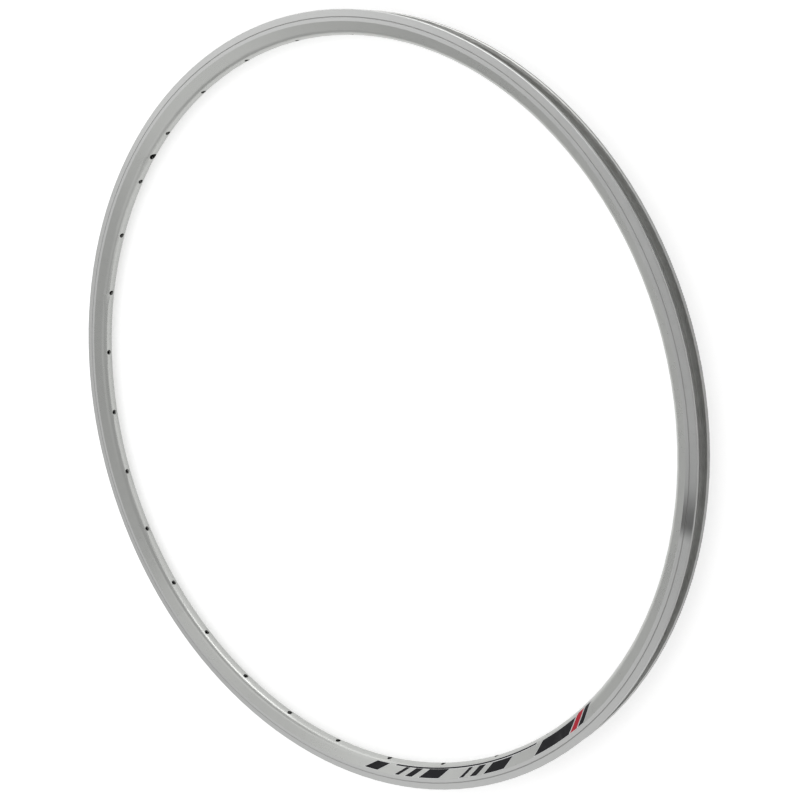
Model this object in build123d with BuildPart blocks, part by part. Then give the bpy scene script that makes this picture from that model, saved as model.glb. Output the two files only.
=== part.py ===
from build123d import *

import os
from math import acos, atan2, cos, hypot, sin

# Double-wall alloy rim for a road bicycle wheel: one extrusion, rolled into a hoop, joined and drilled.
# Lengths are in millimetres. The origin is the centre of the wheel, midway between the brake tracks,
# +Z is the wheel's axis, and the valve hole lies on +X.
os.makedirs("parts", exist_ok=True)

# The tyre's side of the section
bead_seat_diameter = 622.0
flange_height = 6.0  # from the bead seat up to the lip
inside_width = 13.5  # between the two hooks
flange_thickness = 1.6  # below the hook
hook_height = 3.0
hook_chamfer = 0.7
seat_width = 3.2
well_depth = 3.5  # below the bead seats
well_width = 8.6

# The brake tracks and the outside of the section
rim_width = 19.5  # across the two brake tracks
section_height = 18.7  # from the bed to the lip
lip_chamfer = 0.5
track_height = 8.8  # from the lip down to the side wall
track_flat = 6.2  # of that, the part that is parallel to the plane of the wheel
track_relief = 0.12  # how far the foot of the track falls back
groove_offset = 5.7  # from the lip to the middle of the wear groove
groove_width = 0.8
groove_depth = 0.45
bed_radius = 7.0  # of the rounded back that the spokes come out of

# The walls around the hollow chamber
bed_thickness = 2.0
bridge_thickness = 1.2
seat_thickness = 1.4
track_wall = 1.5
floor_width = 5.2
corner_rise = 1.9  # of the slope between the chamber's floor and its side wall
corner_width = 9.2  # across the chamber, at the top of those slopes

# Drilling
spoke_count = 32
spoke_hole_diameter = 4.4
access_hole_diameter = 8.0  # in the bridge, for the nipple's head and its key
valve_hole_diameter = 6.5

# Radii and half widths that follow from the sizes above
seat_radius = bead_seat_diameter / 2
lip_radius = seat_radius + flange_height
bed_inner_radius = lip_radius - section_height
well_radius = seat_radius - well_depth
groove_radius = lip_radius - groove_offset
half_width = rim_width / 2
hook_face = inside_width / 2
flange_face = half_width - flange_thickness
seat_edge = flange_face - seat_width
chamber_floor = bed_inner_radius + bed_thickness
chamber_ceiling = well_radius - bridge_thickness


def touching_point(point, centre_radius, arc_radius):
    """Where a line from a point of the section touches the round bed, whose centre is on the mid plane."""
    across, out = point[1], point[0] - centre_radius
    angle = atan2(out, across) - acos(arc_radius / hypot(across, out))
    return (centre_radius + arc_radius * sin(angle), arc_radius * cos(angle))


# The side wall runs straight from the foot of the brake track until it touches the bed
track_foot = (lip_radius - track_height, half_width - track_relief)
wall_end = touching_point(track_foot, bed_inner_radius + bed_radius, bed_radius)

with BuildPart() as rim:
    with BuildSketch(Plane.YZ):
        # Half of the outline, from the middle of the bed out to the lip and back in to the well
        with BuildLine():
            RadiusArc((bed_inner_radius, 0), wall_end, bed_radius)
            Polyline(
                wall_end,
                track_foot,
                (lip_radius - track_flat, half_width),
                (groove_radius - groove_width / 2, half_width),
                (groove_radius, half_width - groove_depth),
                (groove_radius + groove_width / 2, half_width),
                (lip_radius - lip_chamfer, half_width),
                (lip_radius, half_width - lip_chamfer),
                (lip_radius, hook_face + hook_chamfer),
                (lip_radius - hook_chamfer, hook_face),
                (lip_radius - hook_height, flange_face),
                (seat_radius, flange_face),
                (seat_radius, seat_edge),
                (well_radius, well_width / 2),
                (well_radius, 0),
            )
            mirror(about=Plane.XZ)
        make_face()

        # The hollow chamber between the bed and the bridge
        with BuildLine():
            Polyline(
                (chamber_floor, 0),
                (chamber_floor, floor_width / 2),
                (chamber_floor + corner_rise, corner_width / 2),
                (seat_radius - seat_thickness, half_width - track_wall),
                (seat_radius - seat_thickness, seat_edge + bridge_thickness),
                (chamber_ceiling, (well_width + bridge_thickness) / 2),
                (chamber_ceiling, 0),
            )
            mirror(about=Plane.XZ)
        make_face(mode=Mode.SUBTRACT)
    revolve(axis=Axis.Z)

    # A stepped drill makes each spoke hole from the tyre's side: wide through the bridge, and narrow
    # through the bed
    drill_depth = section_height + bed_thickness
    wide_depth = lip_radius - (chamber_floor + chamber_ceiling) / 2
    with PolarLocations(lip_radius, spoke_count, start_angle=180 / spoke_count):
        with Locations(Rotation(0, 90, 0)):
            CounterBoreHole(spoke_hole_diameter / 2, access_hole_diameter / 2, wide_depth, drill_depth)

    # The valve hole goes straight through both walls, midway between two spoke holes
    with Locations(Plane((lip_radius, 0, 0), z_dir=(1, 0, 0))):
        Hole(valve_hole_diameter / 2, drill_depth)

rim.part.label = "rim"
export_step(rim.part, "parts/rim.step")
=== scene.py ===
import math

import bpy
from mathutils import Matrix, Vector


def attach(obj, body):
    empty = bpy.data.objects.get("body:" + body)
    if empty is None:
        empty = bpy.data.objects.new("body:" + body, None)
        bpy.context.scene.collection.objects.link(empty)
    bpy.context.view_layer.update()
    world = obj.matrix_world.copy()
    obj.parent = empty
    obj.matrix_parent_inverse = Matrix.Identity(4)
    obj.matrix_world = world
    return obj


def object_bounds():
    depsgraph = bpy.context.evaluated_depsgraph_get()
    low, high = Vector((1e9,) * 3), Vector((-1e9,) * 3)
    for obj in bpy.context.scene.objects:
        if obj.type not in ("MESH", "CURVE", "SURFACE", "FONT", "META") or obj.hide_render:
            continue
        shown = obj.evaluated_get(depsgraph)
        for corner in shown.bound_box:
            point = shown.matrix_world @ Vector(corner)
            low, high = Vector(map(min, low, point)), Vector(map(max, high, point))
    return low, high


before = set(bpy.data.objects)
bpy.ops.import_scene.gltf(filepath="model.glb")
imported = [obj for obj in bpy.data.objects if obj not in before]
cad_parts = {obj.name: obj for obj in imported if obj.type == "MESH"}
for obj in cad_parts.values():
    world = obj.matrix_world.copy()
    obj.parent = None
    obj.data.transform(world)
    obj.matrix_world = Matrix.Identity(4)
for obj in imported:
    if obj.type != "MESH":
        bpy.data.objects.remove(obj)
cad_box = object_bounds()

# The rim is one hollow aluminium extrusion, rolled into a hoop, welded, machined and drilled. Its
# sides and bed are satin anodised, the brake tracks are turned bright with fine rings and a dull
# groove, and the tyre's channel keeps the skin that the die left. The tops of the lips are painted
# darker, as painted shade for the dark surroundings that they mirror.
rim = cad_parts["rim"]
lip_radius = 0.3170
track_inner = 0.3082
groove_radius = 0.3113
groove_half = 0.00042
half_width = 0.00975
well_radius = 0.3075
flange_face = 0.00815
patch_angle = math.radians(217.3 - 360)
edge_rounding = 0.00035


class Shade:
    """A socket of a shader's node, with the arithmetic that is written on it."""

    tree = None

    def __init__(self, socket):
        self.socket = socket

    @classmethod
    def node(cls, kind, settings=None, output=0, **inputs):
        """A new node. A socket is given by its name, or as i and its number where names repeat."""
        node = cls.tree.nodes.new(kind)
        for name, value in (settings or {}).items():
            setattr(node, name, value)
        for name, value in inputs.items():
            key = int(name[1:]) if name[1:].isdigit() else name.replace("_", " ")
            if isinstance(value, Shade):
                cls.tree.links.new(value.socket, node.inputs[key])
            else:
                node.inputs[key].default_value = value
        return cls(node.outputs[output])

    def math(self, operation, other=0.0):
        return Shade.node("ShaderNodeMath", {"operation": operation}, i0=self, i1=other)

    def __add__(self, other):
        return self.math("ADD", other)

    def __sub__(self, other):
        return self.math("SUBTRACT", other)

    def __mul__(self, other):
        return self.math("MULTIPLY", other)

    def __rsub__(self, other):
        return Shade.node("ShaderNodeMath", {"operation": "SUBTRACT"}, i0=other, i1=self)

    __radd__ = __add__
    __rmul__ = __mul__

    def ease(self, low, high):
        """0 below low, 1 above high, and smooth between them."""
        return Shade.node(
            "ShaderNodeMapRange",
            {"interpolation_type": "SMOOTHSTEP"},
            Value=self,
            From_Min=low,
            From_Max=high,
        )

    def blend(self, other, share):
        """This colour turned into another by a share from 0 to 1."""
        return Shade.node(
            "ShaderNodeMix", {"data_type": "RGBA"}, output=2, i0=share, i6=self, i7=other
        )

    @classmethod
    def colour(cls, red, green, blue):
        return cls.node("ShaderNodeCombineColor", i0=red, i1=green, i2=blue)


def new_material(name):
    material = bpy.data.materials.new(name)
    material.use_nodes = True
    material.node_tree.nodes.clear()
    Shade.tree = material.node_tree
    return material


def finish_material(surface):
    out = Shade.tree.nodes.new("ShaderNodeOutputMaterial")
    Shade.tree.links.new(surface.socket, out.inputs["Surface"])


def around_the_hoop():
    """Where a point of the rim lies: its place, radius, height over the mid plane and angle."""
    place = Shade.node("ShaderNodeTexCoord", output=3)
    x, y, z = (Shade.node("ShaderNodeSeparateXYZ", output=axis, Vector=place) for axis in range(3))
    return place, (x * x + y * y).math("SQRT"), z, y.math("ARCTAN2", x)


silver = new_material("satin_silver_aluminium")
place, radius, rise, angle = around_the_hoop()
height = rise.math("ABSOLUTE")

# Each finish has a mask that is 1 where it lies, with a soft edge a fraction of a millimetre wide
track = height.ease(half_width - 0.0004, half_width - 0.0002) * radius.ease(
    track_inner - 0.00004, track_inner + 0.00004
)
from_groove = (radius - groove_radius).math("ABSOLUTE")
groove = 1 - from_groove.ease(groove_half - 0.0001, groove_half + 0.0001)
groove = groove * height.ease(half_width - 0.0006, half_width - 0.0005)
channel = (1 - height.ease(flange_face + 0.0001, flange_face + 0.0004)) * radius.ease(
    well_radius - 0.0004, well_radius - 0.0002
)
top_of_lip = radius.ease(lip_radius - 0.0003, lip_radius - 0.0001)
skin = channel.math("MAXIMUM", top_of_lip)

# The tool's rings on the tracks, the grain of the anodised skin and the marks of handling
grain = Shade.node("ShaderNodeTexNoise", Vector=place, Scale=1400.0, Detail=4.0, Roughness=0.6)
mottle = Shade.node("ShaderNodeTexNoise", Vector=place, Scale=160.0, Detail=5.0, Roughness=0.6)
cloud = Shade.node("ShaderNodeTexNoise", Vector=place, Scale=11.0, Detail=3.0)
rings = Shade.node(
    "ShaderNodeTexNoise", {"noise_dimensions": "1D"}, W=radius * 5200.0, Scale=1.0, Detail=4.0
)
around = Shade.node("ShaderNodeCombineXYZ", X=radius * 3500.0, Y=angle * 9.0, Z=height * 300.0)
scuffs = Shade.node("ShaderNodeTexNoise", Vector=around, Scale=1.0, Detail=5.0, Roughness=0.65)
streaks = scuffs.ease(0.52, 0.70)

# A dark patch lies across the tracks: it starts sharply and fades out over some 14 degrees
past_patch = (angle - patch_angle) * math.degrees(1)
patch = past_patch.ease(-2.8, -0.2) * (
    (1 - past_patch.ease(0.2, 5.5)) * 0.40 + (1 - past_patch.ease(0.0, 14.0)) * 0.24
)
patch = patch * track * (0.80 + rings * 0.40)

# Each finish has its own silver, and its tone shifts with the clouds, the mottle and the rings.
# The tops of the lips get a darker silver that is painted shade, not a finish of the metal.
tone = 1 + (cloud - 0.5) * 0.10 + (mottle - 0.5) * 0.08
anodised = Shade.colour(0.468 * tone, 0.474 * tone, 0.460 * tone)
turned_tone = tone + (rings - 0.5) * 0.16 + (scuffs - 0.5) * 0.10 - patch
turned = Shade.colour(0.502 * turned_tone, 0.506 * turned_tone, 0.500 * turned_tone)
skin_tone = tone + (mottle - 0.5) * 0.25
raw = Shade.colour(0.530 * skin_tone, 0.532 * skin_tone, 0.522 * skin_tone)
# Painted shade: a darker silver on the tops of the lips, standing in for the dark that they mirror
painted_lip_shade = Shade.colour(0.375 * tone, 0.378 * tone, 0.370 * tone)
dull = Shade.colour(0.500 * turned_tone, 0.501 * turned_tone, 0.494 * turned_tone)
colour = anodised.blend(turned, track).blend(raw, channel)
colour = colour.blend(painted_lip_shade, top_of_lip).blend(dull, groove)

roughness = (
    0.28 + (cloud - 0.5) * 0.06 + (mottle - 0.5) * 0.05
    + track * 0.02 + track * (rings - 0.5) * 0.10 + track * streaks * 0.08
    + skin * 0.14 + groove * 0.32
)
rounded = Shade.node("ShaderNodeBevel", {"samples": 4}, Radius=edge_rounding)
relief = grain * 0.35 + mottle * 0.25 + track * (rings + scuffs * 0.4) + skin * (grain * 0.5)
bumped = Shade.node(
    "ShaderNodeBump", Strength=0.30, Distance=0.00003, Height=relief, Normal=rounded
)
finish_material(
    Shade.node(
        "ShaderNodeBsdfPrincipled",
        Base_Color=colour,
        Metallic=1.0,
        Roughness=roughness,
        Normal=bumped,
    )
)
rim.data.materials[0] = silver

# The sticker is a row of plain slanted stripes of cut vinyl film, pressed on the front side wall
# where it runs into the rounded bed. White film lies under the black and the red, and shows as a
# thin edge round each stripe.
wall_foot = Vector((0.30820, 0.00963))
wall_end = Vector((0.30190, 0.00613))
bed_centre = 0.3053
bed_round = 0.0070
wall_length = (wall_foot - wall_end).length
bed_start = math.atan2(wall_end.y, bed_centre - wall_end.x)
stripe_slant = math.radians(0.30) / 0.001  # for each metre down the wall
stripe_middle = 0.0050  # the length down the wall at which a stripe stands at its own angle
stripe_radius = 0.305  # of the middle of the stripes, round the hoop
white_lift = 0.00012
white_thickness = 0.00010
colour_lift = 0.00016
colour_thickness = colour_lift - white_lift
white_edge = 0.00035
white_edge_turn = math.degrees(white_edge / stripe_radius) * 1.6
rows_down = 9
steps_in_a_degree = 3


def on_the_side(down, lift):
    """Radius and height of a point on the side wall, a length down from the brake track."""
    if down <= wall_length:
        along = (wall_end - wall_foot) / wall_length
        outward = Vector((along.y, -along.x))
        spot = wall_foot + along * down
    else:
        turn = bed_start - (down - wall_length) / bed_round
        outward = Vector((-math.cos(turn), math.sin(turn)))
        spot = Vector((bed_centre, 0)) + outward * bed_round
    spot = spot + outward * lift
    return spot.x, spot.y


def lay_stripe(name, first, last, top, bottom, lift, thickness, material):
    """A strip of film between two angles, in degrees round the hoop, and from top to bottom.

    A point is drawn down the wall into a slanted edge, and the edge is spun round the hoop."""
    points = []
    for row in range(rows_down):
        down = top + (bottom - top) * row / (rows_down - 1)
        reach, rise = on_the_side(down, lift)
        turn = math.radians(first) + stripe_slant * (down - stripe_middle)
        points.append(Vector((reach * math.cos(turn), reach * math.sin(turn), rise)))
    bpy.ops.object.select_all(action="DESELECT")
    bpy.ops.mesh.primitive_plane_add(size=0.001, location=points[0])
    bpy.ops.object.mode_set(mode="EDIT")
    bpy.ops.mesh.merge(type="CENTER")
    for here, there in zip(points, points[1:]):
        bpy.ops.mesh.extrude_region_move(TRANSFORM_OT_translate={"value": there - here})
    bpy.ops.mesh.select_all(action="SELECT")
    bpy.ops.mesh.spin(
        steps=max(4, math.ceil(abs(last - first) * steps_in_a_degree)),
        angle=math.radians(first - last),
        center=(0, 0, 0),
        axis=(0, 0, 1),
    )
    bpy.ops.mesh.select_all(action="SELECT")
    bpy.ops.mesh.remove_doubles(threshold=0.000001)
    bpy.ops.mesh.normals_make_consistent(inside=False)
    bpy.ops.object.mode_set(mode="OBJECT")
    stripe = bpy.context.object
    stripe.name = name
    if sum(face.normal.z for face in stripe.data.polygons) < 0:
        bpy.ops.object.mode_set(mode="EDIT")
        bpy.ops.mesh.flip_normals()
        bpy.ops.object.mode_set(mode="OBJECT")
    bpy.ops.object.transform_apply(location=True, rotation=True, scale=True)
    film = stripe.modifiers.new("film", "SOLIDIFY")
    film.thickness = thickness
    film.offset = -1
    bpy.ops.object.modifier_apply(modifier="film")
    bpy.ops.object.shade_smooth_by_angle(angle=math.radians(30))
    stripe.data.materials.append(material)
    return stripe


def vinyl(name, red, green, blue, gloss):
    """Cut film: a faint peel from the rollers, fine scratches along the hoop and a dusty haze."""
    material = new_material(name)
    place, radius, rise, angle = around_the_hoop()
    peel = Shade.node("ShaderNodeTexNoise", Vector=place, Scale=2200.0, Detail=2.0)
    haze = Shade.node("ShaderNodeTexNoise", Vector=place, Scale=90.0, Detail=4.0, Roughness=0.6)
    along = Shade.node("ShaderNodeCombineXYZ", X=radius * 4000.0, Y=angle * 14.0, Z=rise * 4000.0)
    scratch = Shade.node("ShaderNodeTexNoise", Vector=along, Scale=1.0, Detail=5.0, Roughness=0.7)
    scratched = scratch.ease(0.60, 0.72)
    dust = haze.ease(0.45, 0.85) * 0.025 + scratched * 0.03
    base = Shade.colour(red + dust, green + dust, blue + dust)
    bump = Shade.node(
        "ShaderNodeBump", Strength=0.15, Distance=0.00002, Height=peel + scratched * 0.6
    )
    finish_material(
        Shade.node(
            "ShaderNodeBsdfPrincipled",
            Base_Color=base,
            Roughness=gloss + (haze - 0.5) * 0.12 + scratched * 0.15,
            Specular_IOR_Level=0.20,
            Normal=bump,
        )
    )
    return material


vinyls = {
    "black": vinyl("black_vinyl", 0.005, 0.005, 0.007, 0.34),
    "white": vinyl("white_vinyl", 0.740, 0.745, 0.750, 0.40),
    "red": vinyl("red_vinyl", 0.420, 0.012, 0.028, 0.34),
}

# Each stripe's colour, its first and last angle, and its top and bottom, down from the brake track
stripes = [
    ("black", 183.6, 182.3, 0.0006, 0.0098),
    ("red", 182.0, 180.5, 0.0006, 0.0098),
    ("black", 180.2, 172.6, 0.0006, 0.0086),
    ("black", 166.2, 162.0, 0.0006, 0.0078),
    ("black", 160.6, 159.2, 0.0006, 0.0078),
    ("black", 157.9, 157.1, 0.0006, 0.0078),
    ("black", 152.8, 148.8, 0.0010, 0.0082),
    ("black", 147.4, 146.0, 0.0010, 0.0082),
    ("black", 144.7, 143.9, 0.0010, 0.0082),
    ("black", 140.2, 137.6, 0.0014, 0.0090),
    ("black", 171.0, 141.6, 0.0084, 0.0096),
]
films = {"black": [], "red": [], "white": []}
for count, (kind, first, last, top, bottom) in enumerate(stripes):
    films[kind].append(
        lay_stripe(
            f"stripe_{count}", first, last, top, bottom,
            colour_lift, colour_thickness, vinyls[kind],
        )
    )
    films["white"].append(
        lay_stripe(
            f"underlay_{count}", first + white_edge_turn, last - white_edge_turn,
            top - white_edge, bottom + white_edge, white_lift, white_thickness, vinyls["white"],
        )
    )
for kind, pieces in films.items():
    bpy.ops.object.select_all(action="DESELECT")
    for piece in pieces:
        piece.select_set(True)
    bpy.context.view_layer.objects.active = pieces[0]
    if len(pieces) > 1:
        bpy.ops.object.join()
    film = bpy.context.view_layer.objects.active
    film.name = f"sticker_{kind}"
    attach(film, "root")

# The photograph was taken with the rim standing on its edge. Here it lies on its back face, and
# the camera turns with it to take the same view: the plane that the rim stood in becomes the plane
# that it lies in, and its valve hole comes round to +X.
view_azimuth = math.radians(38.60)
view_elevation = math.radians(13.78)
view_distance = 1.072
view_right = 0.0443
view_up = 0.0110
view_pixels = 1311.0
image_pixels = 800.0
valve_angle = math.radians(138.2)

laid_down = Matrix.Rotation(-valve_angle, 3, "Z") @ Matrix(((1, 0, 0), (0, 0, 1), (0, -1, 0)))
back = laid_down @ Vector(
    (
        math.sin(view_azimuth) * math.cos(view_elevation),
        -math.cos(view_azimuth) * math.cos(view_elevation),
        math.sin(view_elevation),
    )
)
right = laid_down @ Vector((math.cos(view_azimuth), math.sin(view_azimuth), 0))
up = back.cross(right)
camera_data = bpy.data.cameras.new("camera")
camera_data.lens = view_pixels / image_pixels * camera_data.sensor_width
camera = bpy.data.objects.new("camera", camera_data)
bpy.context.scene.collection.objects.link(camera)
turn = Matrix((right, up, back)).transposed().to_4x4()
camera.matrix_world = (
    Matrix.Translation(back * view_distance + right * view_right + up * view_up) @ turn
)
bpy.context.scene.camera = camera

# A plain white floor under the rim. It glows a little for the camera and for what the metal
# mirrors, so that both see it white, and the rim's shadow still falls on it.
floor_size = 12.0
floor_paint = 0.85
floor_glow = 0.48
room_light = 0.60
bpy.ops.object.select_all(action="DESELECT")
bpy.ops.mesh.primitive_plane_add(size=floor_size, location=(0, 0, cad_box[0][2]))
floor = bpy.context.object
floor.name = "floor"
white = new_material("white_floor")
ray = Shade.node("ShaderNodeLightPath", output=0)
glossy = Shade.node("ShaderNodeLightPath", output=3)
through = Shade.node("ShaderNodeLightPath", output=6)
paint = Shade.node("ShaderNodeBsdfDiffuse", Color=(floor_paint, floor_paint, floor_paint, 1.0))
glow = Shade.node(
    "ShaderNodeEmission", Color=(1, 1, 1, 1), Strength=(ray + glossy + through) * floor_glow
)
finish_material(Shade.node("ShaderNodeAddShader", i0=paint, i1=glow))
floor.data.materials.append(white)

world = bpy.data.worlds.new("studio")
bpy.context.scene.world = world
world.use_nodes = True
background = world.node_tree.nodes["Background"]
background.inputs["Color"].default_value = (1, 1, 1, 1)
background.inputs["Strength"].default_value = room_light

# Square soft boxes stand round the rim, all equally far from its middle. The low ones are as
# bright, place by place, as what the photograph shows mirrored in the rounded bed and the lips,
# and the ones above them do the same for the brake track and the side wall.
box_distance = 1.8
low_size = 0.65
high_size = 0.95

# Each box's angle round the rim, its angle above the floor, its size and its brightness
soft_boxes = [
    (-80, 8, low_size, 1.00),
    (-60, 8, low_size, 2.15),
    (-40, 8, low_size, 2.50),
    (-20, 8, low_size, 1.15),
    (0, 8, low_size, 1.05),
    (20, 8, low_size, 0.40),
    (45, 8, low_size, 0.45),
    (140, 8, low_size, 0.40),
    (165, 8, low_size, 0.65),
    (0, 25, low_size, 0.50),
    (30, 25, low_size, 0.25),
    (185, 25, low_size, 0.15),
    (20, 42, high_size, 0.56),
    (60, 42, high_size, 0.30),
    (100, 42, high_size, 0.42),
    (140, 42, high_size, 0.27),
    (-20, 65, high_size, 0.50),
    (190, 65, high_size, 0.18),
]
for azimuth, elevation, size, brightness in soft_boxes:
    data = bpy.data.lights.new(f"soft_box_{azimuth % 360}_{elevation}", "AREA")
    data.shape = "SQUARE"
    data.size = size
    data.energy = brightness * math.pi * size * size
    lamp = bpy.data.objects.new(data.name, data)
    bpy.context.scene.collection.objects.link(lamp)
    way = Vector((1, 0, 0))
    way.rotate(Matrix.Rotation(math.radians(-elevation), 3, "Y"))
    way.rotate(Matrix.Rotation(math.radians(azimuth), 3, "Z"))
    lamp.location = way * box_distance
    lamp.rotation_euler = (-way).to_track_quat("-Z", "Y").to_euler()
    lamp.visible_camera = False

bpy.context.scene.view_settings.view_transform = "Standard"
